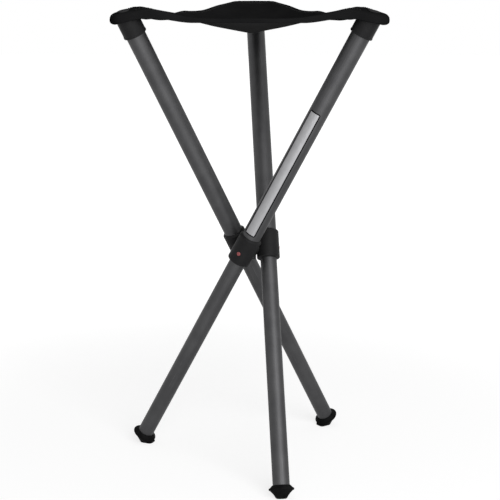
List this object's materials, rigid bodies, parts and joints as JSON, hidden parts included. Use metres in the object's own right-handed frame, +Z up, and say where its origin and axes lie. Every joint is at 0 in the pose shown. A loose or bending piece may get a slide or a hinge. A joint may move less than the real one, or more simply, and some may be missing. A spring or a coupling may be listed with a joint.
{
  "type": "folding tripod stool",
  "caption": "Folding tripod stool with telescopic tube legs crossing at a central hub, push-button leg locks, rubber feet and a triangular cloth sling seat.",
  "frame": {"origin": "on the floor, under the middle of the hub", "axes": "+Z up; the rear seat corner lies towards +Y and the front edge of the seat faces -Y"},
  "size_m": [0.3398, 0.3592, 0.6117],
  "materials": {
    "tube": "dark grey, satin",
    "plastic": "black, fine grain",
    "rubber": "black, matt",
    "cloth": "black, plain weave",
    "button": "red",
    "steel": "zinc plated"
  },
  "bodies": {
    "hub": {"hub_core": "plastic", "seat_sling": "cloth", "rear_pivot_rivet": "steel", "left_pivot_rivet": "steel", "right_pivot_rivet": "steel"},
    "rear_leg": {"rear_upper_tube": "tube", "rear_hub_sleeve": "plastic", "rear_leg_cap": "plastic", "rear_corner_pocket": "cloth", "rear_seat_plug": "plastic"},
    "rear_lower_leg": {"rear_lower_tube": "tube", "rear_guide_bush": "plastic", "rear_spring_clip": "steel", "rear_foot": "rubber"},
    "rear_button": {"rear_release_button": "button"},
    "left_leg": {"left_upper_tube": "tube", "left_hub_sleeve": "plastic", "left_leg_cap": "plastic", "left_corner_pocket": "cloth", "left_seat_plug": "plastic"},
    "left_lower_leg": {"left_lower_tube": "tube", "left_guide_bush": "plastic", "left_spring_clip": "steel", "left_foot": "rubber"},
    "left_button": {"left_release_button": "button"},
    "right_leg": {"right_upper_tube": "tube", "right_hub_sleeve": "plastic", "right_leg_cap": "plastic", "right_corner_pocket": "cloth", "right_seat_plug": "plastic"},
    "right_lower_leg": {"right_lower_tube": "tube", "right_guide_bush": "plastic", "right_spring_clip": "steel", "right_foot": "rubber"},
    "right_button": {"right_release_button": "button"}
  },
  "joints": [
    {"name": "rear_fold", "type": "hinge", "parent": "hub", "child": "rear_leg", "pos_m": [0.02328, 0.00323, 0.2917], "axis": [0.9905, 0.1376, 0], "range_deg": [0, 28.9], "deforming": ["seat_sling"]},
    {"name": "rear_slide", "type": "slide", "parent": "rear_leg", "child": "rear_lower_leg", "axis": [-0.0665, 0.4787, 0.8755], "range_m": [0, 0.27], "deforming": ["rear_spring_clip"]},
    {"name": "rear_press", "type": "slide", "parent": "rear_leg", "child": "rear_button", "axis": [-0.9905, -0.1376, 0], "range_m": [0, 0.0021], "stiffness_N_per_m": 1200, "springref_m": -0.0015, "deforming": ["rear_spring_clip"]},
    {"name": "left_fold", "type": "hinge", "parent": "hub", "child": "left_leg", "pos_m": [-0.01444, 0.01854, 0.2917], "axis": [-0.6144, 0.789, 0], "range_deg": [0, 28.9], "deforming": ["seat_sling"]},
    {"name": "left_slide", "type": "slide", "parent": "left_leg", "child": "left_lower_leg", "axis": [-0.3813, -0.2969, 0.8755], "range_m": [0, 0.27], "deforming": ["left_spring_clip"]},
    {"name": "left_press", "type": "slide", "parent": "left_leg", "child": "left_button", "axis": [0.6144, -0.789, 0], "range_m": [0, 0.0021], "stiffness_N_per_m": 1200, "springref_m": -0.0015, "deforming": ["left_spring_clip"]},
    {"name": "right_fold", "type": "hinge", "parent": "hub", "child": "right_leg", "pos_m": [-0.00884, -0.02177, 0.2917], "axis": [-0.3761, -0.9266, 0], "range_deg": [0, 28.9], "deforming": ["seat_sling"]},
    {"name": "right_slide", "type": "slide", "parent": "right_leg", "child": "right_lower_leg", "axis": [0.4478, -0.1817, 0.8755], "range_m": [0, 0.27], "deforming": ["right_spring_clip"]},
    {"name": "right_press", "type": "slide", "parent": "right_leg", "child": "right_button", "axis": [0.3761, 0.9266, 0], "range_m": [0, 0.0021], "stiffness_N_per_m": 1200, "springref_m": -0.0015, "deforming": ["right_spring_clip"]}
  ],
  "couplings": [
    {"joint": "left_fold", "follows": "rear_fold", "ratio": 1},
    {"joint": "right_fold", "follows": "rear_fold", "ratio": 1}
  ]
}
